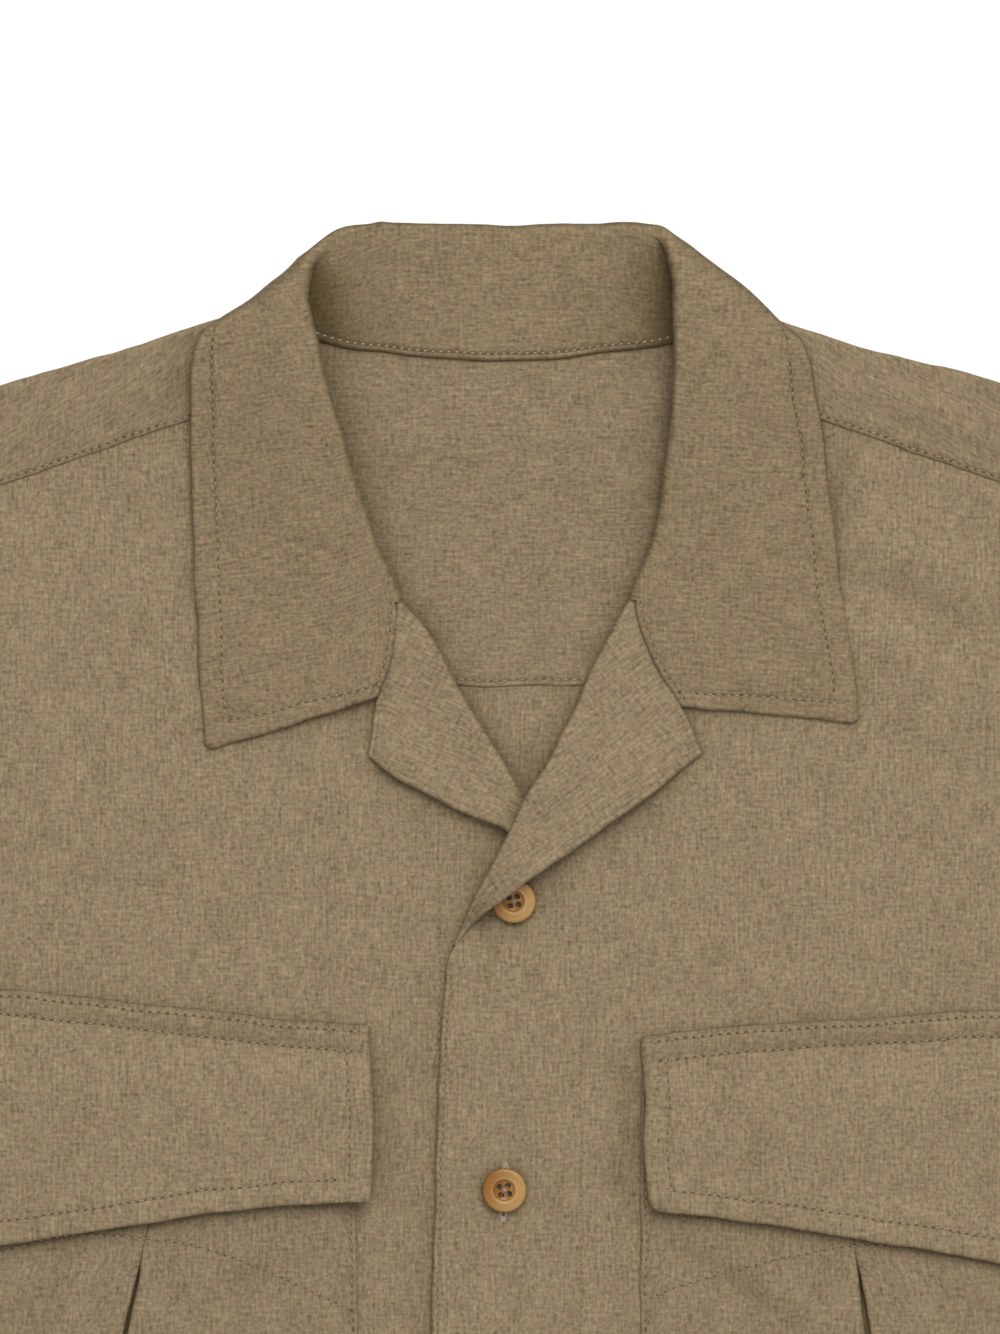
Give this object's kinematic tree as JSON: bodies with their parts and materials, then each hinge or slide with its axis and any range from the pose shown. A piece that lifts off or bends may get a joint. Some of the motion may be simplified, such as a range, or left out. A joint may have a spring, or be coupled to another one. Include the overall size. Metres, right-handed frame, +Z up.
{
  "type": "shirt jacket",
  "caption": "Wool shirt jacket laid flat, with an open notched collar, a forward yoke, flapped chest pockets with a pleat, long cuffed sleeves and a buttoned front.",
  "frame": {"origin": "centre of the footprint, on the surface that the jacket lies on", "axes": "+X toward the wearer's left, +Y toward the collar, +Z up off the surface, out of the jacket's front"},
  "size_m": [1.332, 0.7524, 0.0142],
  "materials": {
    "cloth": "olive-brown melange tropical wool, matt",
    "button": "tan, satin, with a raised rim"
  },
  "bodies": {
    "root": {"back": "cloth", "yoke": "cloth", "front_left": "cloth", "front_right": "cloth", "facing_left": "cloth", "facing_right": "cloth", "collar": "cloth", "pocket_left": "cloth", "pocket_right": "cloth", "flap_left": "cloth", "flap_right": "cloth", "sleeve_left": "cloth", "sleeve_right": "cloth", "cuff_left": "cloth", "cuff_right": "cloth", "button_front_1": "button", "button_front_2": "button", "button_front_3": "button", "button_front_4": "button", "button_front_5": "button", "button_cuff_left": "button", "button_cuff_right": "button"}
  },
  "joints": []
}
